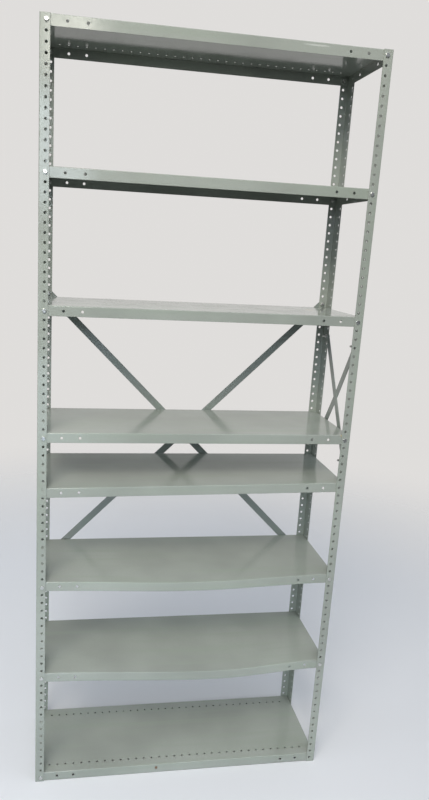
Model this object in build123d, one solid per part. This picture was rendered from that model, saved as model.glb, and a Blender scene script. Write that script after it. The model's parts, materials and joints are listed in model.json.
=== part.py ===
"""Bolt-together steel storage shelving: four perforated angle posts, eight pan shelves,
a flat-strap X brace across the back and another on the right-hand end.

Millimetres, +Z up.  X runs to the right seen from the front, the front faces -Y, and the
origin is on the floor under the middle of the four posts.
"""

import os
from math import cos, hypot, pi

from build123d import *

os.makedirs("parts", exist_ok=True)

# ---- Overall sizes ----------------------------------------------------------------------
UNIT_W = 923.0  # outside of the left posts to outside of the right posts
UNIT_D = 294.0  # front face of the front posts to back face of the rear posts
POST_H = 2214.4  # floor to the top of a post

# ---- Angle posts ------------------------------------------------------------------------
PITCH = 25.4  # spacing of every row of holes, in the posts and in the shelves
POST_END = 15.0  # end of a post to the centre of its first hole
POST_FRONT = 26.7  # width of the leg that faces the front or the back
POST_SIDE = 46.0  # width of the leg on the end of the unit
POST_T = 1.9  # sheet thickness of the posts
POST_R = 2.4  # outside radius of the post's bend
POST_ROOT_R = 0.5  # inside radius of the same bend
HOLE_IN = 17.0  # outside corner of a post to the line of holes in its front leg
SIDE_IN = 36.3  # outside corner of a post to the line of holes in its side leg
HOLE_D = 7.6  # bolt holes, everywhere

# ---- Shelf pans -------------------------------------------------------------------------
PAN_T = 0.9  # sheet thickness of the shelves
PAN_UP = 14.5  # bolt line to the top of the deck
PAN_DOWN = 14.0  # bolt line to the lower edge of the flanges
PAN_R = 2.0  # outside radius of the folded edges
PAN_GAP = 0.3  # clearance between a pan and the posts round it
FLANGE_HOLES = (0, 2, 4)  # front and rear flange holes, in pitches from the corner one
SIDE_FLANGE_HOLES = (0, 2)  # the same along the side flanges
ROW_IN = 33.7  # post face to the row of small holes along a deck edge
ROW_D = 5.5  # the small holes of those rows

# Hole numbers counted down from the top hole.  The lowest shelf is always on the last hole.
LEVELS = (0, 14, 28, 42, 48, 60, 72)
LOWEST_ROOM = 4  # free holes kept between the lowest shelf and the one over it

# Bent front edges, by shelf number: how far the edge hangs, and where along the width.
SAG = {6: (14.0, 0.52), 7: (21.0, 0.62)}
SLIP = {5: 12.0}  # this shelf's front left corner hangs this far below its level
STATIONS = 13  # cross-sections that a bent pan is drawn through

# Corners without a bolt, by shelf number.
UNBOLTED = {5: ("front_left", "front_right"), 8: ("front_right",)}

# ---- Straps of the braces ---------------------------------------------------------------
STRAP_W = 22.0
STRAP_T = 2.0
STRAP_END = 11.0  # hole centre to the rounded end of a strap
STRAP_FLAT = 16.0  # straight part beyond the hole before an outer strap steps out
CROSS_MORE = 3.0  # flat length beyond the crossing, each way, where a strap passes over
BACK_TOP, BACK_DROP = 27, 35  # first hole of the back brace, and its height in pitches
END_TOP, END_DROP = 31, 14  # the same for the end brace

# ---- Bolts and nuts ---------------------------------------------------------------------
BOLT_D = 6.2
BOLT_AF = 10.6  # across the flats of the heads
BOLT_HEAD = 4.0
SHELF_BOLT_L = 16.0  # under the head
BRACE_BOLT_L = 19.0
NUT_AF = 11.0
NUT_H = 5.2
NUT_PLAY = 0.1  # radial play between thread and nut
SEAT = 0.05  # clearance of parts that are clamped face to face
CORNER_BREAK = 0.5  # chamfer on heads and nuts

# ---- Derived sizes ----------------------------------------------------------------------
WHOLE = 0.001  # a row this near to one more whole pitch, in pitches, gets it
HOLE_COUNT = int((POST_H - 2 * POST_END) / PITCH + WHOLE) + 1
HALF_W, HALF_D = UNIT_W / 2, UNIT_D / 2
HOLE_X, HOLE_Y = HALF_W - HOLE_IN, HALF_D - SIDE_IN
PAN_INSET = POST_T + PAN_GAP
PAN_W, PAN_D = UNIT_W - 2 * PAN_INSET, UNIT_D - 2 * PAN_INSET
PAN_H = PAN_UP + PAN_DOWN

upper = [n for n in LEVELS if n <= HOLE_COUNT - 1 - LOWEST_ROOM]
levels = upper + [HOLE_COUNT - 1]

CORNERS = {
    "front_left": (-1, -1),
    "front_right": (1, -1),
    "rear_left": (-1, 1),
    "rear_right": (1, 1),
}


def hole_z(number):
    """Height of a post hole, numbered from the top one down."""
    return POST_END + (HOLE_COUNT - 1 - number) * PITCH


def along_y(x, z, y, length, diameter):
    """A cylinder lying along Y, centred on (x, y, z), used to cut a hole."""
    place = Pos(x, y, z) * Rot(90, 0, 0)
    return place * Cylinder(diameter / 2, length)


def along_x(y, z, x, length, diameter):
    """A cylinder lying along X, centred on (x, y, z), used to cut a hole."""
    place = Pos(x, y, z) * Rot(0, 90, 0)
    return place * Cylinder(diameter / 2, length)


# ---- Posts ------------------------------------------------------------------------------
def make_post():
    """The front left post in place: one leg across the front, one leg down the side."""
    outline = Polyline(
        (0, 0),
        (POST_FRONT, 0),
        (POST_FRONT, POST_T),
        (POST_T, POST_T),
        (POST_T, POST_SIDE),
        (0, POST_SIDE),
        close=True,
    )
    section = make_face(outline)
    for corner, radius in (((0, 0, 0), POST_R), ((POST_T, POST_T, 0), POST_ROOT_R)):
        bend = section.vertices().sort_by_distance(corner)[0]
        section = fillet(bend, radius)
    angle = extrude(section, POST_H)

    cuts = []
    for number in range(HOLE_COUNT):
        z = hole_z(number)
        cuts.append(along_y(HOLE_IN, z, POST_T / 2, 4 * POST_T, HOLE_D))
        cuts.append(along_x(SIDE_IN, z, POST_T / 2, 4 * POST_T, HOLE_D))
    angle = angle - cuts
    return Pos(-HALF_W, -HALF_D, 0) * angle


def place_posts(post):
    """The same angle in all four corners, mirrored so the legs always turn inwards."""
    right = mirror(post, about=Plane.YZ)
    return {
        "post_front_left": post,
        "post_front_right": right,
        "post_rear_left": mirror(post, about=Plane.XZ),
        "post_rear_right": mirror(right, about=Plane.XZ),
    }


# ---- Shelves ----------------------------------------------------------------------------
def edge_drop(shelf, x):
    """How far the front edge of a shelf hangs below its level at x."""
    if shelf in SLIP:
        return SLIP[shelf] * (0.5 - x / PAN_W)
    if shelf in SAG:
        depth, share = SAG[shelf]
        lowest = PAN_W * (share - 0.5)
        reach = PAN_W / 2 - lowest if x > lowest else PAN_W / 2 + lowest
        return depth * (1 + cos(pi * min(1.0, abs(x - lowest) / reach))) / 2
    return 0.0


def flat_pan():
    """A straight pan about its bolt line: a folded tray, open below, with rounded folds."""
    base = Pos(0, 0, -PAN_DOWN) * Box(
        PAN_W, PAN_D, PAN_H, align=(Align.CENTER, Align.CENTER, Align.MIN)
    )
    folds = base.edges().filter_by(Axis.Z) + base.faces().sort_by(Axis.Z)[-1].edges()
    base = fillet(folds, PAN_R)
    hollow = Pos(0, 0, -PAN_DOWN - PAN_T) * Box(
        PAN_W - 2 * PAN_T,
        PAN_D - 2 * PAN_T,
        PAN_H,
        align=(Align.CENTER, Align.CENTER, Align.MIN),
    )
    return base - hollow


def pan_section(x, drop):
    """The channel-shaped cross-section of a pan at x, its front fold lowered by drop."""
    front, rear = -PAN_D / 2, PAN_D / 2
    top, low = PAN_UP, -PAN_DOWN
    at = Plane(origin=(x, 0, 0), x_dir=(0, 1, 0), z_dir=(1, 0, 0))
    lean = PAN_R * cos(pi / 4)
    outline = [
        Line((front, low - drop), (front, top - drop - PAN_R)),
        ThreePointArc(
            (front, top - drop - PAN_R),
            (front + PAN_R - lean, top - drop - PAN_R + lean),
            (front + PAN_R, top - drop),
        ),
        Line((front + PAN_R, top - drop), (rear - PAN_R, top)),
        ThreePointArc(
            (rear - PAN_R, top),
            (rear - PAN_R + lean, top - PAN_R + lean),
            (rear, top - PAN_R),
        ),
        Line((rear, top - PAN_R), (rear, low)),
        Line((rear, low), (rear - PAN_T, low)),
        Line((rear - PAN_T, low), (rear - PAN_T, top - PAN_T)),
        Line((rear - PAN_T, top - PAN_T), (front + PAN_T, top - PAN_T - drop)),
        Line((front + PAN_T, top - PAN_T - drop), (front + PAN_T, low - drop)),
        Line((front + PAN_T, low - drop), (front, low - drop)),
    ]
    return at * make_face(Wire(outline))


def pan_end(x, drop):
    """The flange that closes one end of a bent pan, its inner face at x."""
    front, rear = -PAN_D / 2, PAN_D / 2
    at = Plane(origin=(x, 0, 0), x_dir=(0, 1, 0), z_dir=(1, 0, 0))
    outline = Polyline(
        (front, -PAN_DOWN - drop),
        (front, PAN_UP - PAN_R - drop),
        (front + PAN_R, PAN_UP - drop),
        (rear - PAN_R, PAN_UP),
        (rear, PAN_UP - PAN_R),
        (rear, -PAN_DOWN),
        close=True,
    )
    return extrude(at * make_face(outline), PAN_T)


def bent_pan(shelf):
    """A pan with a bent front edge, drawn through its cross-sections, ends closed."""
    inner = PAN_W / 2 - PAN_T
    xs = [-inner + 2 * inner * i / (STATIONS - 1) for i in range(STATIONS)]
    sections = [pan_section(x, edge_drop(shelf, x)) for x in xs]
    if shelf in SLIP:
        sections = [sections[0], sections[-1]]
    body = loft(sections)
    left = pan_end(-inner - PAN_T, edge_drop(shelf, -inner))
    right = pan_end(inner, edge_drop(shelf, inner))
    return body + left + right


def shelf_holes(shelf, rowed):
    """Cutters for the flange holes of a shelf and, on some, the rows along the deck."""
    cuts = []
    reach = 6 * PAN_T
    for side in (-1, 1):
        for step in FLANGE_HOLES:
            x = side * (HOLE_X - step * PITCH)
            drop = edge_drop(shelf, x)
            cuts.append(along_y(x, -drop, -PAN_D / 2, reach, HOLE_D))
            cuts.append(along_y(x, 0, PAN_D / 2, reach, HOLE_D))
        for back in (-1, 1):
            for step in SIDE_FLANGE_HOLES:
                y = back * (HOLE_Y - step * PITCH)
                lean = edge_drop(shelf, side * PAN_W / 2) * (0.5 - y / PAN_D)
                cuts.append(along_x(y, -lean, side * PAN_W / 2, reach, HOLE_D))
    if rowed:
        count = int(2 * HOLE_X / PITCH + WHOLE) - 1
        first = -(count - 1) * PITCH / 2
        for i in range(count):
            for y in (-HALF_D + ROW_IN, HALF_D - ROW_IN):
                at = Pos(first + i * PITCH, y, PAN_UP)
                cuts.append(at * Cylinder(ROW_D / 2, reach))
    return cuts


def make_shelf(shelf, number):
    """A whole shelf at its level.  Only the top and the bottom one have the deck rows."""
    rowed = shelf in (1, len(levels))
    pan = bent_pan(shelf) if shelf in SAG or shelf in SLIP else flat_pan()
    pan = pan - shelf_holes(shelf, rowed)
    return Pos(0, 0, hole_z(number)) * pan


# ---- Straps -----------------------------------------------------------------------------
def make_strap(start, end, normal, under=None):
    """A flat strap bolted on at start and end.

    Given the two ends of the strap it crosses, it steps out to pass over that one.
    """
    start, end, normal = Vector(*start), Vector(*end), Vector(*normal)
    along = (end - start).normalized()
    middle = (start + end) * 0.5
    hole = (end - start).length / 2
    tip = hole + STRAP_END
    low = [(-tip, 0), (tip, 0)]
    if under:
        other = Vector(*under[0])
        other_along = (Vector(*under[1]) - other).normalized()
        sine = along.cross(other_along).dot(normal)
        crossing = (other - middle).cross(other_along).dot(normal) / sine
        flat = STRAP_W / 2 * (1 + abs(along.dot(other_along))) / abs(sine) + CROSS_MORE
        step = STRAP_T + SEAT
        low[1:1] = [
            (-hole + STRAP_FLAT, 0),
            (crossing - flat, step),
            (crossing + flat, step),
            (hole - STRAP_FLAT, 0),
        ]
    high = [(s, n + STRAP_T) for s, n in reversed(low)]
    profile = Plane.XZ * make_face(Polyline(*low, *high, close=True))
    bar = extrude(profile, STRAP_W / 2, both=True)
    bar = bar & extrude(SlotOverall(2 * tip, STRAP_W), 4 * STRAP_T, both=True)
    for s in (-hole, hole):
        bar -= Pos(s, 0, 0) * Cylinder(HOLE_D / 2, 8 * STRAP_T)
    return Plane(origin=middle + normal * SEAT, x_dir=along, z_dir=normal) * bar


# ---- Fasteners --------------------------------------------------------------------------
def hexagon(across, height):
    prism = extrude(RegularPolygon(across / 2, 6, major_radius=False), height)
    return chamfer(prism.faces().sort_by(Axis.Z)[-1].edges(), CORNER_BREAK)


def make_bolt(length):
    """A hex bolt whose head stands on the plane z = 0 and whose shank points to -Z."""
    shank = Cylinder(BOLT_D / 2, length, align=(Align.CENTER, Align.CENTER, Align.MAX))
    shank = chamfer(shank.faces().sort_by(Axis.Z)[0].edges(), CORNER_BREAK)
    return hexagon(BOLT_AF, BOLT_HEAD) + shank


def make_nut():
    """A hex nut standing on z = 0."""
    bore = Cylinder(BOLT_D / 2 + NUT_PLAY, 4 * NUT_H)
    return hexagon(NUT_AF, NUT_H) - bore


def fasten(points, normal, grip, length):
    """Bolts with heads on the outside of points and nuts behind the clamped thickness."""
    bolts, nuts = [], []
    for point in points:
        seat = Vector(*point) + Vector(*normal) * SEAT
        back = Vector(*point) - Vector(*normal) * (grip + SEAT)
        outward = Plane(origin=seat, z_dir=normal)
        inward = Plane(origin=back, z_dir=Vector(*normal) * -1)
        bolts.append(outward * make_bolt(length))
        nuts.append(inward * make_nut())
    return bolts, nuts


def shelf_fasteners(shelf, number):
    """The corner bolts of one shelf, through the post leg and the shelf flange."""
    bolts, nuts = [], []
    grip = POST_T + PAN_GAP + PAN_T
    for corner, (sx, sy) in CORNERS.items():
        if corner in UNBOLTED.get(shelf, ()):
            continue
        point = (sx * HOLE_X, sy * HALF_D, hole_z(number))
        more = fasten([point], (0, sy, 0), grip, SHELF_BOLT_L)
        bolts += more[0]
        nuts += more[1]
    return bolts, nuts


# ---- The whole unit ---------------------------------------------------------------------
nodes = place_posts(make_post())

for shelf, number in enumerate(levels, start=1):
    nodes[f"shelf_{shelf}"] = make_shelf(shelf, number)
    bolts, nuts = shelf_fasteners(shelf, number)
    nodes[f"shelf_{shelf}_bolts"] = Compound(bolts)
    nodes[f"shelf_{shelf}_nuts"] = Compound(nuts)

# The back brace lies on the outside of the rear posts, between these four holes.
high, low = hole_z(BACK_TOP), hole_z(BACK_TOP + BACK_DROP)
back = (0, 1, 0)
back_down = ((-HOLE_X, HALF_D, high), (HOLE_X, HALF_D, low))
back_up = ((-HOLE_X, HALF_D, low), (HOLE_X, HALF_D, high))
nodes["back_brace_inner"] = make_strap(*back_down, back)
nodes["back_brace_outer"] = make_strap(*back_up, back, under=back_down)

# The end brace lies on the outside of the two right-hand posts.
high, low = hole_z(END_TOP), hole_z(END_TOP + END_DROP)
side = (1, 0, 0)
end_up = ((HALF_W, -HOLE_Y, low), (HALF_W, HOLE_Y, high))
end_down = ((HALF_W, -HOLE_Y, high), (HALF_W, HOLE_Y, low))
nodes["end_brace_inner"] = make_strap(*end_up, side)
nodes["end_brace_outer"] = make_strap(*end_down, side, under=end_up)

# Brace bolts have their heads outside the strap and their nuts inside the post.
on_strap = SEAT + STRAP_T
for name, ends, normal in (
    ("back", back_down + back_up, back),
    ("end", end_down + end_up, side),
):
    heads = [tuple(Vector(*p) + Vector(*normal) * on_strap) for p in ends]
    bolts, nuts = fasten(heads, normal, POST_T + on_strap, BRACE_BOLT_L)
    nodes[f"{name}_brace_bolts"] = Compound(bolts)
    nodes[f"{name}_brace_nuts"] = Compound(nuts)

for name, shape in nodes.items():
    export_step(shape, f"parts/{name}.step")
    print(name, "solids", len(shape.solids()), "valid", shape.is_valid)
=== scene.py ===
# %% [markdown]
# # A bolt-together steel shelving unit
# This lesson dresses a finished CAD model of storage shelving: four perforated angle posts,
# eight folded pan shelves, and flat-strap X braces on the back and on the right-hand end.
# The model is loaded as a fixed frame, and its shapes stay as they are.  The lesson adds
# enamel, real hexagon bolts and nuts, a floor, light and a camera.  Sizes are in metres.

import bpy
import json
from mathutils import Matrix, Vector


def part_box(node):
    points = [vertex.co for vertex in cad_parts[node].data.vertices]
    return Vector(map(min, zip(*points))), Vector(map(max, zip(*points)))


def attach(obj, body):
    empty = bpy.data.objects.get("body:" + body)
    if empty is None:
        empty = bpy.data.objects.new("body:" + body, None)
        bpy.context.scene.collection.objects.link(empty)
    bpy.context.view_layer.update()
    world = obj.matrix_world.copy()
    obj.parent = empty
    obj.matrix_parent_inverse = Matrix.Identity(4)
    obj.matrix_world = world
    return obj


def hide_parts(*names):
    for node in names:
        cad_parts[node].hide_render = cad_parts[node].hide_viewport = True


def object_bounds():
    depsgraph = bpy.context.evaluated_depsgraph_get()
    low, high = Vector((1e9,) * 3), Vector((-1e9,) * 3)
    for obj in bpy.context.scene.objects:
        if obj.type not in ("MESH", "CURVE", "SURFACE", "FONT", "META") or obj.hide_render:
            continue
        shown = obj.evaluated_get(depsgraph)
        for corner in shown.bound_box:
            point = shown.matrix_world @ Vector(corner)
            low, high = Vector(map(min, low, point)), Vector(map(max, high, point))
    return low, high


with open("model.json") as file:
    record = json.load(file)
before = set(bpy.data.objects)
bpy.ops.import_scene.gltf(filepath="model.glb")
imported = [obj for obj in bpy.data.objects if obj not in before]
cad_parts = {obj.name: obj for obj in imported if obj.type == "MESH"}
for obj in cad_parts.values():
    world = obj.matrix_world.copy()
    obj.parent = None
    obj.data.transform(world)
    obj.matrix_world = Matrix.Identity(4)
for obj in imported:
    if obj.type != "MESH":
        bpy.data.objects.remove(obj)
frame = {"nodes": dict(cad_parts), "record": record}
cad_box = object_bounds()
print("nodes:", len(frame["nodes"]), "box:", [tuple(round(c, 3) for c in p) for p in cad_box])

# %% Libraries for the lesson
import json
import math

import bpy
from mathutils import Matrix, Vector

print("Blender", bpy.app.version_string)

# %% [markdown]
# ## Helpers for building node trees
# Materials and Geometry Nodes are both graphs of nodes.  Every node could be made and wired
# with calls of its own, but that is long and hard to read.  Two small helpers do the
# plumbing instead: one adds a node and fills its inputs with numbers or with the outputs of
# other nodes, the other adds a Math node.

# %% Add a node
def add(tree, kind, inputs=None, **settings):
    """A new node with its settings, and inputs filled from values or linked from sockets."""
    node = tree.nodes.new(kind)
    for name, value in settings.items():
        setattr(node, name, value)
    for name, value in (inputs or {}).items():
        socket = node.inputs[name]
        if isinstance(value, bpy.types.NodeSocket):
            tree.links.new(value, socket)
        else:
            socket.default_value = value
    return node


def maths(tree, operation, *values, clamp=False):
    """The output of one Math node."""
    inputs = dict(enumerate(values))
    node = add(tree, "ShaderNodeMath", inputs, operation=operation, use_clamp=clamp)
    return node.outputs[0]


print("node helpers ready")

# %% [markdown]
# ## Patterns that a painted steel sheet needs
# Real enamel is never one flat colour.  It varies slowly over a sheet, runs in faint streaks,
# and is dotted with small nicks.  A painted picture could hold all that, but it would have
# to be unwrapped onto every piece.  Noise that reads the piece's own Object coordinates
# needs no unwrapping, has no seams, and stays put whatever the camera does.  Such noise
# mostly stays between 0.3 and 0.75, so the thresholds that shape it lie in that range.

# %% Noise, stretched noise and soft thresholds
def noise(tree, where, per_metre, detail=2.0, stretch=(1, 1, 1)):
    """Noise from 0 to 1 with so many blotches to the metre, stretched along some axes."""
    scale = [per_metre * s for s in stretch]
    mapping = add(tree, "ShaderNodeMapping", {"Vector": where, "Scale": scale})
    inputs = {"Vector": mapping.outputs[0], "Scale": 1.0, "Detail": detail}
    return add(tree, "ShaderNodeTexNoise", inputs).outputs[0]


def soften(tree, value, low, high, to_low=0.0, to_high=1.0):
    """Runs smoothly from to_low, where value is low, to to_high, where it is high."""
    inputs = {0: value, 1: low, 2: high, 3: to_low, 4: to_high}
    node = add(tree, "ShaderNodeMapRange", inputs, interpolation_type="SMOOTHSTEP")
    return node.outputs[0]


print("noise helpers ready")

# %% Colours and relief
def rgba(red, green, blue):
    """A colour as the four numbers that a socket takes."""
    return (red, green, blue, 1.0)


def mix(tree, share, base, over):
    """Two colours mixed, with so much of the second."""
    inputs = {0: share, 6: base, 7: over}
    return add(tree, "ShaderNodeMix", inputs, data_type="RGBA").outputs[2]


def bump(tree, height, strength, depth, over=None, inward=False):
    """A normal with a height pattern on it, added over another normal if one is given."""
    inputs = {"Strength": strength, "Distance": depth, "Height": height}
    if over is not None:
        inputs["Normal"] = over
    return add(tree, "ShaderNodeBump", inputs, invert=inward).outputs[0]


print("colour and relief helpers ready")

# %% [markdown]
# ## Where paint wears
# Paint goes first from folds, cut edges and the rims of holes.  Those places could be marked
# by hand on each mesh, but there are hundreds of holes.  The Bevel node finds them all: it
# gives the normal that a rounded edge would have, and where that differs from the true
# normal there is an edge.  The same rounded normal makes edges catch the light.

# %% Edge mask
EDGE_WIDTH = 0.0016
BEVEL_SAMPLES = 4
FLAT, EDGE = 0.995, 0.80  # cosine between the two normals on a flat, and on an edge


def edge_mask(tree):
    """(mask of the edges, the rounded normal)"""
    radius = {"Radius": EDGE_WIDTH}
    rounded = add(tree, "ShaderNodeBevel", radius, samples=BEVEL_SAMPLES).outputs[0]
    true = add(tree, "ShaderNodeNewGeometry").outputs["True Normal"]
    pair = add(tree, "ShaderNodeVectorMath", {0: rounded, 1: true}, operation="DOT_PRODUCT")
    return soften(tree, pair.outputs["Value"], FLAT, EDGE), rounded


print("edges are", EDGE_WIDTH * 1000, "mm wide")

# %% [markdown]
# ## Marks left by use
# A few larger marks sit at known places on the unit: a smudge, a scuff, a chip.  Each could
# be a small mesh laid on the sheet, but a stain has no thickness.  So each is a soft blob in
# the material: the distance from a centre, with a little noise added so that its outline is
# ragged.

# %% One mark
GRAIN = 1.5  # blotches of the ragged outline to one radius of the mark
CORE, RAGGED = 0.45, 0.5  # share of the radius that is solid, and how far the noise reaches


def blob(tree, where, centre, radii):
    """A mask that is 1 at centre and fades to 0 at the given radii along X, Y and Z."""
    away = add(tree, "ShaderNodeVectorMath", {0: where, 1: centre}, operation="SUBTRACT")
    inputs = {0: away.outputs[0], 1: [1 / r for r in radii]}
    scaled = add(tree, "ShaderNodeVectorMath", inputs, operation="MULTIPLY")
    length = add(tree, "ShaderNodeVectorMath", {0: scaled.outputs[0]}, operation="LENGTH")
    outline = noise(tree, where, GRAIN / min(radii), detail=3.0)
    reach = maths(tree, "MULTIPLY_ADD", outline, RAGGED * 2, length.outputs["Value"])
    return soften(tree, reach, 1.0 + RAGGED, CORE + RAGGED)


print("marks helper ready")

# %% [markdown]
# ## The enamel
# The shelving is dipped and baked in a grey-green industrial enamel with a soft gloss.  Each
# piece could have a material of its own, but posts, shelves and braces differ only in tone,
# in the direction of their streaks and in how worn they are, so one function builds all
# three.  It works in layers, as the real surface does.  The first is the paint itself.

# %% Colours of dust, steel, rust and marks
DUST = rgba(0.47, 0.48, 0.45)
BARE_STEEL = rgba(0.42, 0.41, 0.39)
RUST = rgba(0.16, 0.075, 0.035)
SMUDGE = rgba(0.50, 0.42, 0.22)
SCUFF = rgba(0.62, 0.64, 0.60)
print("dust:", DUST[:3], "rust:", RUST[:3])

# %% The paint layer
TONE, RUNS, MOTTLE = 2.6, 34.0, 220.0  # slow blotches, streaks and grains to the metre
DARKER, LIGHTER = 0.86, 1.12  # the two tones, as shares of the paint's own colour
GREENER = (0.95, 1.02, 0.93)  # the tint of the streaks, as shares of the paint's colour
RUN_SHARE, MOTTLE_SHARE = 0.5, 0.16


def paint_layer(tree, where, paint, streak):
    """Enamel with slow changes of tone, faint streaks and a fine mottle."""
    broad = noise(tree, where, TONE, detail=3.0)
    runs = noise(tree, where, RUNS, stretch=streak)
    fine = noise(tree, where, MOTTLE)
    darker = rgba(*[c * DARKER for c in paint])
    lighter = rgba(*[c * LIGHTER for c in paint])
    greener = rgba(*[c * share for c, share in zip(paint, GREENER)])
    colour = mix(tree, soften(tree, broad, 0.3, 0.7), darker, lighter)
    colour = mix(tree, soften(tree, runs, 0.42, 0.72, 0.0, RUN_SHARE), colour, greener)
    return mix(tree, soften(tree, fine, 0.35, 0.7, 0.0, MOTTLE_SHARE), colour, darker)


print("paint layer ready")

# %% [markdown]
# ## Dust and nicks
# Dust settles only on what faces up, so its mask comes from the normal.  Nicks are where
# fine noise peaks above a threshold.  Adding the edge mask to that noise brings more peaks
# over it along folds and rims, which is where paint is really knocked off.  A second, lower
# threshold gives each nick a thin rusty border.

# %% Dust
DUST_PATCHES = 5.0  # to the metre
LEAST_DUST, MOST_DUST = 0.02, 0.16
STEEP, LEVEL = 0.6, 0.95  # the normal's upward part where dust starts, and where all lies


def dust_mask(tree, where):
    """Dust lies in patches on whatever faces up."""
    normal = add(tree, "ShaderNodeNewGeometry").outputs["Normal"]
    up = add(tree, "ShaderNodeSeparateXYZ", {0: normal}).outputs["Z"]
    patches = noise(tree, where, DUST_PATCHES, detail=3.0)
    amount = soften(tree, patches, 0.35, 0.75, LEAST_DUST, MOST_DUST)
    return maths(tree, "MULTIPLY", soften(tree, up, STEEP, LEVEL), amount)


print("dust helper ready")

# %% Nicks
NICKS, CLUSTERS = 230.0, 9.0  # nicks to the metre, and the groups that they come in
EDGE_WEAR, CLUSTER_WEAR = 0.16, 0.06  # how much an edge and a group add to the chance
BARE_FROM, BARE_TO = 0.850, 0.865
RUST_FROM, RUST_TO = 0.820, 0.855


def nick_masks(tree, where, edges, worn):
    """(bare steel, rust round it): along the edges, and in a few specks elsewhere."""
    chance = noise(tree, where, NICKS, detail=4.0)
    near = maths(tree, "MULTIPLY_ADD", edges, EDGE_WEAR * worn, chance)
    specks = maths(tree, "MULTIPLY_ADD", noise(tree, where, CLUSTERS), CLUSTER_WEAR, near)
    bare = soften(tree, specks, BARE_FROM, BARE_TO)
    rust = soften(tree, specks, RUST_FROM, RUST_TO)
    return bare, rust


print("nick helper ready")

# %% [markdown]
# ## The relief of the enamel
# Thin sheet is never quite flat, and baked enamel has the fine skin called orange peel.
# Both are far too shallow to model, a fraction of a millimetre, yet they break up every
# reflection.  Bump nodes add them to the normal, one over the other, and nicks go inwards.

# %% Waves, orange peel and nicks
WAVES, PEEL = 6.0, 520.0  # to the metre
WAVE_STRENGTH, WAVE_DEPTH = 0.35, 0.0006
PEEL_STRENGTH, PEEL_DEPTH = 0.10, 0.0001
NICK_STRENGTH, NICK_DEPTH = 0.5, 0.0002


def enamel_relief(tree, where, rounded, bare):
    """The normal of the enamel, over the rounded normal of its edges."""
    wave = noise(tree, where, WAVES, detail=1.0)
    peel = noise(tree, where, PEEL, detail=1.0)
    sheet = bump(tree, wave, WAVE_STRENGTH, WAVE_DEPTH, rounded)
    skin = bump(tree, peel, PEEL_STRENGTH, PEEL_DEPTH, sheet)
    return bump(tree, bare, NICK_STRENGTH, NICK_DEPTH, skin, inward=True)


print("relief ready")

# %% [markdown]
# ## One shader for all the layers
# Each layer could be a shader of its own, mixed with the rest, but that renders slowly and
# exports badly.  One Principled shader takes the mixed colour, roughness, metal and normal.
# It is glossiest where the paint is clean, and duller where there is dust or rust.  Marks
# come in as a list, so only the material that needs them carries them.

# %% Roughness of an enamel
GLOSS = 0.13  # roughness of clean enamel
SMEARS = 14.0  # to the metre
CLEANEST, GREASIEST = -0.03, 0.06  # what the smears add to the roughness
DUST_ROUGH, RUST_ROUGH = 0.22, 0.15  # what full dust and full rust add


def roughness(tree, where, dust, rust):
    """Soft gloss, broken up by smears, dust and rust."""
    smears = noise(tree, where, SMEARS, detail=4.0)
    smears = soften(tree, smears, 0.3, 0.75, CLEANEST, GREASIEST)
    clean = maths(tree, "ADD", smears, GLOSS)
    dusty = maths(tree, "MULTIPLY_ADD", dust, DUST_ROUGH, clean)
    return maths(tree, "MULTIPLY_ADD", rust, RUST_ROUGH, dusty, clamp=True)


print("roughness ready")

# %% Build an enamel
RUST_STAIN, STEEL_SHINE = 0.8, 0.8  # how strongly rust tints, and how metallic a nick is


def enamel(name, paint, streak, worn, marks=()):
    """A material for enamelled sheet steel."""
    material = bpy.data.materials.new(name)
    material.use_nodes = True
    tree = material.node_tree
    shader = tree.nodes["Principled BSDF"].inputs
    where = add(tree, "ShaderNodeTexCoord").outputs["Object"]
    edges, rounded = edge_mask(tree)
    dust = dust_mask(tree, where)
    bare, rust = nick_masks(tree, where, edges, worn)
    colour = mix(tree, dust, paint_layer(tree, where, paint, streak), DUST)
    for centre, radii, tint, share in marks:
        mark = maths(tree, "MULTIPLY", blob(tree, where, centre, radii), share)
        colour = mix(tree, mark, colour, tint)
    colour = mix(tree, maths(tree, "MULTIPLY", rust, RUST_STAIN), colour, RUST)
    colour = mix(tree, bare, colour, BARE_STEEL)
    tree.links.new(colour, shader["Base Color"])
    tree.links.new(roughness(tree, where, dust, rust), shader["Roughness"])
    tree.links.new(maths(tree, "MULTIPLY", bare, STEEL_SHINE), shader["Metallic"])
    tree.links.new(enamel_relief(tree, where, rounded, bare), shader["Normal"])
    return material


print("enamel builder ready")

# %% [markdown]
# ## Paint the posts, shelves and braces
# Posts hang while they are dipped, so their streaks run up and down.  Shelves and straps
# streak along their length.  The colours could be written here, but they come from the CAD
# record, so that a change of paint there carries over.

# %% Paint colours from the record
paints = {m["slot"]: m["base_color"] for m in frame["record"]["materials"]}
print("paints:", {slot: [round(c, 3) for c in colour] for slot, colour in paints.items()})

# %% Places of the larger marks
top_low, top_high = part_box("shelf_1")
_, third_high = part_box("shelf_3")
_, fourth_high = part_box("shelf_4")
_, bottom_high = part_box("shelf_8")
FACE = top_low.y  # the front face of the shelves
# Each mark: its centre, its radii, its tint and how strong it is.
marks = [
    ((0.36, 0.03, third_high.z), (0.012, 0.03, 0.006), SMUDGE, 0.75),
    ((0.44, FACE, fourth_high.z), (0.012, 0.008, 0.01), SMUDGE, 0.8),
    ((0.25, FACE, top_high.z - 0.008), (0.045, 0.006, 0.003), SCUFF, 0.8),
    ((-0.077, FACE, bottom_high.z - 0.012), (0.006, 0.004, 0.008), RUST, 0.9),
]
print("marks:", len(marks))

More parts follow.
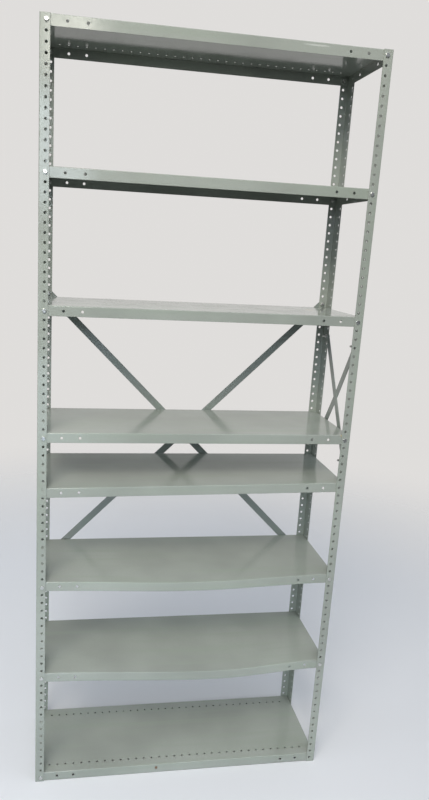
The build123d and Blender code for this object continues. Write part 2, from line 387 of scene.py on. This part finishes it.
# %% The three enamels
UPRIGHT, ALONG, SLANTED = (1, 1, 0.04), (0.05, 1, 1), (0.3, 1, 0.3)  # stretch of the streaks
finishes = {
    "post_enamel": enamel("post enamel", paints["post_enamel"], UPRIGHT, worn=1.15),
    "shelf_enamel": enamel("shelf enamel", paints["shelf_enamel"], ALONG, 0.9, marks),
    "brace_enamel": enamel("brace enamel", paints["brace_enamel"], SLANTED, worn=1.2),
}
print("enamels:", list(finishes))

# %% Give them to the nodes
painted = 0
for node in frame["nodes"].values():
    for material_slot in node.material_slots:
        finish = finishes.get(material_slot.material.name)
        if finish:
            material_slot.material = finish
            painted += 1
print("painted nodes:", painted)

# %% [markdown]
# ## Zinc plate
# The fasteners are zinc plated: a bright metal that dulls in blotches and rusts a little on
# its corners.  Plain polished metal would look like chrome.  So the plate is a metallic
# shader whose tone and roughness follow the same blotches, with a very fine grain on top.

# %% Zinc
BLOOM, SPOTS, CRYSTALS = 260.0, 140.0, 1800.0  # dull blotches, rust spots, grain, per metre
DULL = 0.72  # tone of a dull blotch, as a share of bright zinc
SPOT_FROM, SPOT_TO, SPOT_SHARE = 0.68, 0.74, 0.7
SMOOTH, DULLED = 0.28, 0.5  # roughness of bright and of dull zinc
CRYSTAL_STRENGTH, CRYSTAL_DEPTH = 0.15, 0.0001


def zinc_plate(name, bright):
    """A material for zinc-plated steel."""
    material = bpy.data.materials.new(name)
    material.use_nodes = True
    tree = material.node_tree
    shader = tree.nodes["Principled BSDF"].inputs
    where = add(tree, "ShaderNodeTexCoord").outputs["Object"]
    bloom = noise(tree, where, BLOOM, detail=3.0)
    dull = rgba(*[c * DULL for c in bright])
    colour = mix(tree, soften(tree, bloom, 0.35, 0.7), rgba(*bright), dull)
    spots = noise(tree, where, SPOTS, detail=4.0)
    rust = soften(tree, spots, SPOT_FROM, SPOT_TO, 0.0, SPOT_SHARE)
    grain = noise(tree, where, CRYSTALS)
    tree.links.new(mix(tree, rust, colour, RUST), shader["Base Color"])
    tree.links.new(soften(tree, bloom, 0.3, 0.8, SMOOTH, DULLED), shader["Roughness"])
    tree.links.new(maths(tree, "SUBTRACT", 1.0, rust), shader["Metallic"])
    tree.links.new(bump(tree, grain, CRYSTAL_STRENGTH, CRYSTAL_DEPTH), shader["Normal"])
    return material


zinc = zinc_plate("zinc plate", paints["zinc"])
print("zinc ready")

# %% [markdown]
# ## Where the fasteners are
# The CAD model has a plain bolt and nut at every joint, up to four of each to a node.  Their
# places could be worked out again from hole numbers, but the meshes already hold them.
# Vertices that lie close together belong to one fastener, and the side of the unit that it
# is on tells which way its head faces.

# %% Find each fastener in a node
NEAR = 0.03  # a whole fastener is smaller than this, and two are much further apart


def clusters(node):
    """The (lowest, highest) corners of each separate fastener in a node."""
    groups = []
    for vertex in frame["nodes"][node].data.vertices:
        for group in groups:
            if (vertex.co - group[0]).length < NEAR:
                group.append(vertex.co)
                break
        else:
            groups.append([vertex.co])
    return [
        (Vector(map(min, zip(*group))), Vector(map(max, zip(*group)))) for group in groups
    ]


print("shelf 5 has", len(clusters("shelf_5_bolts")), "bolts")

# %% Seats of the fasteners
def seats(nodes, inner):
    """(point, direction out of the unit) of each fastener.

    The point is its outer end, or its inner end where inner is true, as for a nut.
    """
    found = []
    for node in nodes:
        for low, high in clusters(node):
            middle = (low + high) / 2
            if node.startswith("end_"):
                outward = Vector((1, 0, 0))
            else:
                outward = Vector((0, math.copysign(1, middle.y), 0))
            half = abs((high - low).dot(outward)) / 2
            point = middle - outward * half if inner else middle + outward * half
            found.append((point, outward))
    return found


shelf_nodes = [f"shelf_{n}" for n in range(1, 9)]
brace_nodes = ["back_brace", "end_brace"]
print("shelf bolts:", len(seats([n + "_bolts" for n in shelf_nodes], False)))

# %% [markdown]
# ## Hexagon bolts with Geometry Nodes
# The same bolt sits at every corner.  It could be modelled once and copied in a loop, but a
# Geometry Nodes tree keeps its sizes as inputs, so one tree makes long and short bolts and
# sets one on every point of a cloud.  First come the parts that any such tree needs.

# %% A tree with named inputs
def new_tree(name, sizes):
    """A tree with size inputs, a seed and a finish, and the outputs of its input node."""
    tree = bpy.data.node_groups.new(name, "GeometryNodeTree")
    face = tree.interface
    face.new_socket("Points", in_out="INPUT", socket_type="NodeSocketGeometry")
    for label, value in sizes.items():
        socket = face.new_socket(label, in_out="INPUT", socket_type="NodeSocketFloat")
        socket.default_value = value
    face.new_socket("Seed", in_out="INPUT", socket_type="NodeSocketInt")
    face.new_socket("Finish", in_out="INPUT", socket_type="NodeSocketMaterial")
    face.new_socket("Fasteners", in_out="OUTPUT", socket_type="NodeSocketGeometry")
    return tree, add(tree, "NodeGroupInput").outputs


def move(tree, mesh, height):
    """The mesh moved along Z."""
    up = add(tree, "ShaderNodeCombineXYZ", {"Z": height}).outputs[0]
    inputs = {"Geometry": mesh, "Translation": up}
    return add(tree, "GeometryNodeTransform", inputs).outputs[0]


print("tree helpers ready")

# %% [markdown]
# ## The head
# A real head is a slice of hexagon bar whose top is turned on a lathe, which leaves curved
# corners round a flat disc.  A bevel would cut straight corners.  So the tree does what the
# lathe does: it keeps only what a hexagon prism and a cone have in common.

# %% Turned hexagon
HEX_SIDES, CONE_SIDES = 6, 48
HEX_TO_RADIUS = 1 / math.sqrt(3)  # across the flats to the corner radius
TURN_SHARE = 0.47  # radius of the turned circle on top, as a share of the flats
TURN_SLOPE = 1.9  # how fast the turning cone widens on its way down


def turned_hexagon(tree, across, height):
    """A hexagon prism standing on z = 0, its upper corners cut by a cone."""
    radius = maths(tree, "MULTIPLY", across, HEX_TO_RADIUS)
    inputs = {"Vertices": HEX_SIDES, "Radius": radius, "Depth": height}
    prism = add(tree, "GeometryNodeMeshCylinder", inputs).outputs["Mesh"]
    prism = move(tree, prism, maths(tree, "MULTIPLY", height, 0.5))
    top = maths(tree, "MULTIPLY", across, TURN_SHARE)
    foot = maths(tree, "MULTIPLY_ADD", height, TURN_SLOPE, top)
    inputs = {"Vertices": CONE_SIDES, "Radius Top": top, "Radius Bottom": foot}
    inputs["Depth"] = height
    cone = add(tree, "GeometryNodeMeshCone", inputs).outputs["Mesh"]
    cut = add(tree, "GeometryNodeMeshBoolean", operation="INTERSECT", solver="MANIFOLD")
    for shape in (prism, cone):
        tree.links.new(shape, cut.inputs[1])
    return cut.outputs["Mesh"]


print("turned hexagon ready")

# %% [markdown]
# ## The thread
# A thread could be a bump pattern on a cylinder, but its edge would stay smooth against the
# background.  Here it is real: a triangle swept along a spiral, round a plain core.

# %% Thread
CORE_SIDES, TURN_STEPS = 24, 16
CORE_SHARE = 0.435  # radius of the core, as a share of the shank's diameter
RIDGE_SHARE = 0.42  # radius of the ridge's triangle, as a share of the pitch
TAPER = 0.0006  # the ridge stops this far short of each end


def thread(tree, diameter, length, pitch):
    """(core, ridge): a round core and a spiral ridge round it, hanging from z = 0."""
    core_radius = maths(tree, "MULTIPLY", diameter, CORE_SHARE)
    inputs = {"Vertices": CORE_SIDES, "Radius": core_radius, "Depth": length}
    core = add(tree, "GeometryNodeMeshCylinder", inputs).outputs["Mesh"]
    core = move(tree, core, maths(tree, "MULTIPLY", length, -0.5))
    run = maths(tree, "SUBTRACT", length, 2 * TAPER)
    inputs = {
        "Resolution": TURN_STEPS,
        "Rotations": maths(tree, "DIVIDE", run, pitch),
        "Start Radius": core_radius,
        "End Radius": core_radius,
        "Height": run,
    }
    spiral = add(tree, "GeometryNodeCurveSpiral", inputs).outputs[0]
    inputs = {"Resolution": 3, "Radius": maths(tree, "MULTIPLY", pitch, RIDGE_SHARE)}
    triangle = add(tree, "GeometryNodeCurvePrimitiveCircle", inputs).outputs[0]
    inputs = {"Curve": spiral, "Profile Curve": triangle, "Fill Caps": True}
    ridge = add(tree, "GeometryNodeCurveToMesh", inputs).outputs[0]
    return core, move(tree, ridge, maths(tree, "SUBTRACT", TAPER, length))


print("thread ready")

# %% [markdown]
# ## Setting fasteners on points
# Each point carries the direction that its fastener faces, as an attribute named facing.
# The tree turns a copy of the fastener that way, and then spins it about its own axis by a
# random angle from a fixed seed, because no two bolts are tightened to the same angle.

# %% Set the fasteners on their points
HEX_TURN = math.radians(60)  # a hexagon looks the same after this turn


def facing_and_spin(tree, seed):
    """The rotation of each fastener: its Z axis along facing, then a random spin."""
    inputs = {"Name": "facing"}
    kind = "GeometryNodeInputNamedAttribute"
    facing = add(tree, kind, inputs, data_type="FLOAT_VECTOR").outputs[0]
    aim = add(tree, "FunctionNodeAlignRotationToVector", {"Vector": facing}, axis="Z")
    inputs = {2: 0.0, 3: HEX_TURN, "Seed": seed}
    angle = add(tree, "FunctionNodeRandomValue", inputs, data_type="FLOAT").outputs[1]
    about = {"Axis": (0, 0, 1), "Angle": angle}
    spin = add(tree, "FunctionNodeAxisAngleToRotation", about).outputs[0]
    inputs = {"Rotation": aim.outputs[0], "Rotate By": spin}
    return add(tree, "FunctionNodeRotateRotation", inputs, rotation_space="LOCAL").outputs[0]


def on_points(tree, given, parts):
    """Joins the parts, sets them on every point, and ends the tree."""
    whole = add(tree, "GeometryNodeJoinGeometry")
    for part in parts:
        tree.links.new(part, whole.inputs[0])
    inputs = {"Points": given["Points"], "Instance": whole.outputs[0]}
    inputs["Rotation"] = facing_and_spin(tree, given["Seed"])
    placed = add(tree, "GeometryNodeInstanceOnPoints", inputs).outputs[0]
    real = add(tree, "GeometryNodeRealizeInstances", {"Geometry": placed}).outputs[0]
    inputs = {"Geometry": real, "Material": given["Finish"]}
    done = add(tree, "GeometryNodeSetMaterial", inputs).outputs[0]
    add(tree, "NodeGroupOutput", {"Fasteners": done})


print("placing helpers ready")

# %% The bolt tree
BOLT_SIZES = {
    "Across Flats": 0.0106,
    "Head Height": 0.004,
    "Shank Diameter": 0.0062,
    "Shank Length": 0.016,
    "Thread Pitch": 0.00127,
}
SHANK_START = -0.98  # in head heights: the shank begins just inside the head

bolt_tree, given = new_tree("hexagon bolts", BOLT_SIZES)
head = turned_hexagon(bolt_tree, given["Across Flats"], given["Head Height"])
# The point of a bolt is the middle of its head's outer face, so the bolt hangs below it.
head = move(bolt_tree, head, maths(bolt_tree, "MULTIPLY", given["Head Height"], -1.0))
core, ridge = thread(
    bolt_tree, given["Shank Diameter"], given["Shank Length"], given["Thread Pitch"]
)
drop = maths(bolt_tree, "MULTIPLY", given["Head Height"], SHANK_START)
core, ridge = move(bolt_tree, core, drop), move(bolt_tree, ridge, drop)
on_points(bolt_tree, given, [head, core, ridge])
print("bolt tree nodes:", len(bolt_tree.nodes))

# %% [markdown]
# ## Nuts
# A nut is the same turned hexagon with a round bore, so it has a tree of its own that uses
# the same helpers.  It points inwards, towards the end of its bolt, so the turned face is
# the one that shows inside a shelf.

# %% The nut tree
NUT_SIZES = {"Across Flats": 0.011, "Height": 0.0052, "Bore": 0.0064}
THROUGH = 3.0  # length of the boring cylinder, in nut heights

nut_tree, given = new_tree("hexagon nuts", NUT_SIZES)
block = turned_hexagon(nut_tree, given["Across Flats"], given["Height"])
inputs = {
    "Vertices": CORE_SIDES,
    "Radius": maths(nut_tree, "MULTIPLY", given["Bore"], 0.5),
    "Depth": maths(nut_tree, "MULTIPLY", given["Height"], THROUGH),
}
bore = add(nut_tree, "GeometryNodeMeshCylinder", inputs).outputs["Mesh"]
inputs = {0: block, 1: bore}
kind = "GeometryNodeMeshBoolean"
bored = add(nut_tree, kind, inputs, operation="DIFFERENCE", solver="MANIFOLD").outputs["Mesh"]
down = maths(nut_tree, "MULTIPLY", given["Height"], -1.0)
on_points(nut_tree, given, [move(nut_tree, bored, down)])
print("nut tree nodes:", len(nut_tree.nodes))

# %% [markdown]
# ## From points to plain meshes
# The cloud of points is a mesh of loose vertices that carry the facing attribute.  A
# modifier runs the tree on it.  It could stay live, but a plain mesh is easier to check and
# to export, so the evaluated result is kept and the cloud is thrown away.  Inputs are set by
# the socket's identifier, before the first evaluation.

# %% Run a tree and keep its mesh
def run_tree(name, tree, places, values):
    """A plain mesh object made by the tree on those (point, direction) places."""
    cloud = bpy.data.meshes.new(name + " points")
    cloud.from_pydata([point for point, _ in places], [], [])
    facing = cloud.attributes.new("facing", "FLOAT_VECTOR", "POINT")
    for i, (_, direction) in enumerate(places):
        facing.data[i].vector = direction
    maker = bpy.data.objects.new(name + " maker", cloud)
    bpy.context.scene.collection.objects.link(maker)
    modifier = maker.modifiers.new("fasteners", "NODES")
    modifier.node_group = tree
    sockets = {s.name: s.identifier for s in tree.interface.items_tree}
    for label, value in values.items():
        modifier[sockets[label]] = value
    ready = maker.evaluated_get(bpy.context.evaluated_depsgraph_get())
    mesh = bpy.data.meshes.new_from_object(ready)
    mesh.name = name
    bpy.data.objects.remove(maker)
    piece = bpy.data.objects.new(name, mesh)
    bpy.context.scene.collection.objects.link(piece)
    return piece


print("tree runner ready")

# %% Put one kind of fastener in place of its CAD nodes
def fit_fasteners(name, tree, nodes, values, inner=False):
    """Fasteners for those CAD nodes, riding on the unit in their place."""
    places = seats(nodes, inner)
    if inner:
        places = [(point, -outward) for point, outward in places]
    piece = run_tree(name, tree, places, {"Finish": zinc, **values})
    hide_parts(*nodes)
    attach(piece, "root")
    print(name, "fasteners:", len(places), "faces:", len(piece.data.polygons))


print("fitting helper ready")

# %% Make every bolt and nut
LONG = {"Seed": 5, "Shank Length": 0.019}  # brace bolts also go through the strap

fit_fasteners("shelf_bolts", bolt_tree, [n + "_bolts" for n in shelf_nodes], {"Seed": 3})
fit_fasteners("brace_bolts", bolt_tree, [n + "_bolts" for n in brace_nodes], LONG)
shelf_nuts = [n + "_nuts" for n in shelf_nodes]
fit_fasteners("shelf_nuts", nut_tree, shelf_nuts, {"Seed": 8}, inner=True)
brace_nuts = [n + "_nuts" for n in brace_nodes]
fit_fasteners("brace_nuts", nut_tree, brace_nuts, {"Seed": 9}, inner=True)

# %% [markdown]
# ## Floor
# A pale floor carries the unit's soft shadow.  A small floor would end in a hard line behind
# the shelves, so this one is large and fades out into the background.  It is pale where it
# is looked at, but to light that bounces off it, it is darker, like the floor of a workshop.
# That keeps the undersides of the shelves dark.

# %% A pale floor
FLOOR_SIZE = 9.0
FLOOR_GAP = 0.0005  # below the feet of the posts
FADE = (1.3, 3.6)  # distances from the unit between which the floor fades out
FLOOR_ROUGH = 0.8
FLOOR_TONE, BOUNCE_TONE = rgba(0.83, 0.83, 0.86), rgba(0.36, 0.37, 0.38)

floor_mesh = bpy.data.meshes.new("floor")
corner = FLOOR_SIZE / 2
level = cad_box[0].z - FLOOR_GAP
corners = [(-corner, -corner), (corner, -corner), (corner, corner), (-corner, corner)]
floor_mesh.from_pydata([(x, y, level) for x, y in corners], [], [(0, 1, 2, 3)])
floor = bpy.data.objects.new("floor", floor_mesh)
bpy.context.scene.collection.objects.link(floor)
print("floor:", FLOOR_SIZE, "m")

# %% The floor's finish
floor_material = bpy.data.materials.new("pale floor")
floor_material.use_nodes = True
tree = floor_material.node_tree
shader = tree.nodes["Principled BSDF"]
shader.inputs["Roughness"].default_value = FLOOR_ROUGH
bounce = add(tree, "ShaderNodeLightPath").outputs["Is Diffuse Ray"]
tree.links.new(mix(tree, bounce, FLOOR_TONE, BOUNCE_TONE), shader.inputs["Base Color"])
where = add(tree, "ShaderNodeTexCoord").outputs["Object"]
away = add(tree, "ShaderNodeVectorMath", {0: where}, operation="LENGTH").outputs["Value"]
clear = add(tree, "ShaderNodeBsdfTransparent").outputs[0]
inputs = {0: soften(tree, away, *FADE), 1: shader.outputs[0], 2: clear}
faded = add(tree, "ShaderNodeMixShader", inputs).outputs[0]
tree.links.new(faded, tree.nodes["Material Output"].inputs["Surface"])
floor_mesh.materials.append(floor_material)
print("floor finish:", floor_material.name)

# %% [markdown]
# ## The soft light of the room
# A picture of a real room could light the unit, but a few smooth ramps do the same and can
# be tuned.  The world is brightest overhead and dim below the horizon, like a room with a
# pale ceiling, so decks are lit and undersides go dark.  It is dimmer behind the unit than
# in front of it.

# %% World light
COOL = rgba(0.88, 0.94, 1.0)
CEILING, WALLS, BELOW = 0.95, 0.16, 0.03
BEHIND = 0.42  # share of that light which comes from behind the unit
# A direction has an upward and a backward part, from -1 to 1.  The light changes between:
RISE = (0.0, 0.9)  # upward parts where walls turn into ceiling
DIP = (-0.35, 0.05)  # upward parts where the dark below turns into walls
TURN = (-0.2, 0.6)  # backward parts where the front turns into the back

world = bpy.data.worlds.new("studio")
bpy.context.scene.world = world
world.use_nodes = True
tree = world.node_tree
direction = add(tree, "ShaderNodeTexCoord").outputs["Generated"]
axes = add(tree, "ShaderNodeSeparateXYZ", {0: direction}).outputs
height = axes["Z"]
above = soften(tree, height, *RISE, WALLS, CEILING)
below = soften(tree, height, *DIP, BELOW, CEILING)
behind = soften(tree, axes["Y"], *TURN)
dimmed = soften(tree, behind, 0.0, 1.0, 1.0, BEHIND)
strength = maths(tree, "MULTIPLY", maths(tree, "MINIMUM", above, below), dimmed)
soft = add(tree, "ShaderNodeBackground", {"Color": COOL, "Strength": strength}).outputs[0]
print("world: ceiling", CEILING, "walls", WALLS, "below", BELOW)

# %% [markdown]
# The camera sees an even pale background instead of that light.  Glossy paint and metal that
# mirror what is behind the unit should show it too, most of all low down, where a real wall
# would stand.  Reflections of the front and of the ceiling keep seeing the soft light.

# %% What is seen
BACKGROUND = rgba(0.74, 0.725, 0.71)
WALL_TOP = (0.2, 0.6)  # upward parts of a direction where that wall fades out
HIGH_UP = 0.4  # share of the background in reflections of what is over it

pale = add(tree, "ShaderNodeBackground", {"Color": BACKGROUND, "Strength": 1.0}).outputs[0]
path = add(tree, "ShaderNodeLightPath").outputs
wall = maths(tree, "MULTIPLY", behind, soften(tree, height, *WALL_TOP, 1.0, HIGH_UP))
mirrored = maths(tree, "MULTIPLY", path["Is Glossy Ray"], wall)
seen = maths(tree, "MAXIMUM", path["Is Camera Ray"], mirrored)
seen = maths(tree, "MAXIMUM", seen, path["Is Transmission Ray"])
both = add(tree, "ShaderNodeMixShader", {0: seen, 1: soft, 2: pale}).outputs[0]
tree.links.new(both, tree.nodes["World Output"].inputs["Surface"])
print("background:", [round(c, 3) for c in BACKGROUND[:3]])

# %% [markdown]
# ## Lamps
# The world alone would leave the sheet metal flat.  Four soft lamps stand in front and to
# the left: a warm one high overhead does most of the work, a small warm key gives the bright
# line along each folded edge, and two cool ones, at chest height and low down, lift the
# front edges and the lower part, as daylight from a door would.

# %% A soft lamp
def lamp(name, place, target, size, watts, tint, spread=180):
    """A rectangular lamp aimed at a point, its beam spread over so many degrees."""
    light = bpy.data.lights.new(name, "AREA")
    light.shape = "RECTANGLE"
    light.size, light.size_y = size
    light.energy = watts
    light.color = tint
    light.spread = math.radians(spread)
    holder = bpy.data.objects.new(name, light)
    bpy.context.scene.collection.objects.link(holder)
    holder.location = place
    aim = Vector(target) - Vector(place)
    holder.rotation_euler = aim.to_track_quat("-Z", "Y").to_euler()


print("lamp helper ready")

# %% The four lamps
WARM = (1.0, 0.955, 0.865)
DAYLIGHT = (0.84, 0.93, 1.0)
SKY_BLUE = (0.68, 0.83, 1.0)
lamp("key", (-0.42, -3.1, 2.95), (0, 0, 1.4), (0.3, 0.35), 4.5, WARM)
lamp("overhead", (-1.3, -3.0, 4.1), (0, 0, 1.1), (2.4, 1.2), 98.0, WARM)
lamp("front", (-0.85, -3.3, 2.3), (-0.25, 0, 0.85), (1.2, 0.8), 5.2, DAYLIGHT, 70)
lamp("low", (-0.9, -2.7, 0.5), (-0.4, 0, 0.2), (1.4, 0.8), 2.2, SKY_BLUE, 60)

# %% [markdown]
# ## Camera
# The camera stands a little left of the unit's middle, at head height.  It looks slightly
# down and is tilted a few degrees, as a hand-held one is.  The small lens shift frames the
# unit as wanted without turning the camera, which would change how the posts converge.

# %% Camera
EYE = Vector((-0.3624, -1.9291, 1.6724))
AIM = Vector((-0.0412, 0.0, 1.24))
TILT = math.radians(3.08)
LENS = 29.33  # millimetres
SHIFT = (0.0434, -0.0104)

camera_data = bpy.data.cameras.new("camera")
camera_data.lens = LENS
camera_data.shift_x, camera_data.shift_y = SHIFT
camera = bpy.data.objects.new("camera", camera_data)
bpy.context.scene.collection.objects.link(camera)
camera.location = EYE
looking = (AIM - EYE).to_track_quat("-Z", "Y").to_matrix().to_4x4()
tilt = Matrix.Rotation(TILT, 4, "Z")
camera.rotation_euler = (looking @ tilt).to_euler()
bpy.context.scene.camera = camera
print("camera at", tuple(round(c, 2) for c in EYE))

# %% [markdown]
# The Standard view shows colours about as they were written.

# %% View transform
bpy.context.scene.view_settings.view_transform = "Standard"
print("view transform:", bpy.context.scene.view_settings.view_transform)
